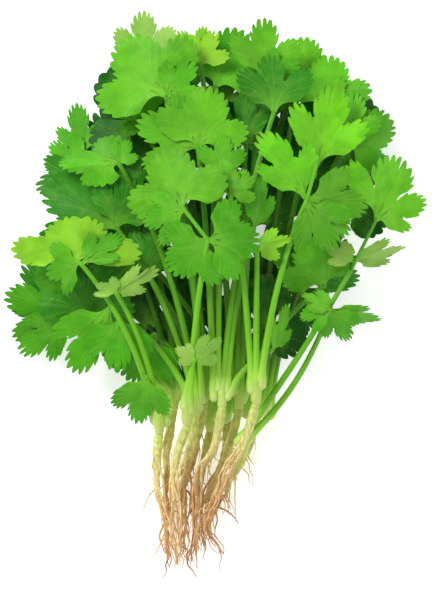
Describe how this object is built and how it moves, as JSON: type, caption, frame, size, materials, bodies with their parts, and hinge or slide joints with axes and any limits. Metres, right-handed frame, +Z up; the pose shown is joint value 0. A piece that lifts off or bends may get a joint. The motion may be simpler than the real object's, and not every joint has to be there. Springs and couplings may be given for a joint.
{
  "type": "coriander bunch",
  "caption": "Fresh coriander bunch lying on its side: whole plants with tan tap roots, pale crowns, long green stalks and lobed, toothed leaflets.",
  "frame": {"origin": "on the surface that the bunch lies on, under the middle of its box", "axes": "+Z up, away from the surface; +Y along the bunch from the root tips to the leaves; +X to the right seen from above with the leaves up"},
  "size_m": [0.2116, 0.281, 0.076],
  "materials": {
    "shoot": "satin fresh leaf, paler on the stalks and cream at the crown",
    "root": "matt, damp and fibrous"
  },
  "bodies": {
    "root": {"plant_01_shoot": "shoot", "plant_01_root": "root", "plant_02_shoot": "shoot", "plant_02_root": "root", "plant_03_shoot": "shoot", "plant_03_root": "root", "plant_04_shoot": "shoot", "plant_04_root": "root", "plant_05_shoot": "shoot", "plant_05_root": "root", "plant_06_shoot": "shoot", "plant_06_root": "root", "plant_07_shoot": "shoot", "plant_07_root": "root", "plant_08_shoot": "shoot", "plant_08_root": "root", "plant_09_shoot": "shoot", "plant_09_root": "root", "plant_10_shoot": "shoot", "plant_10_root": "root", "plant_11_shoot": "shoot", "plant_11_root": "root", "plant_12_shoot": "shoot", "plant_12_root": "root"}
  },
  "joints": []
}
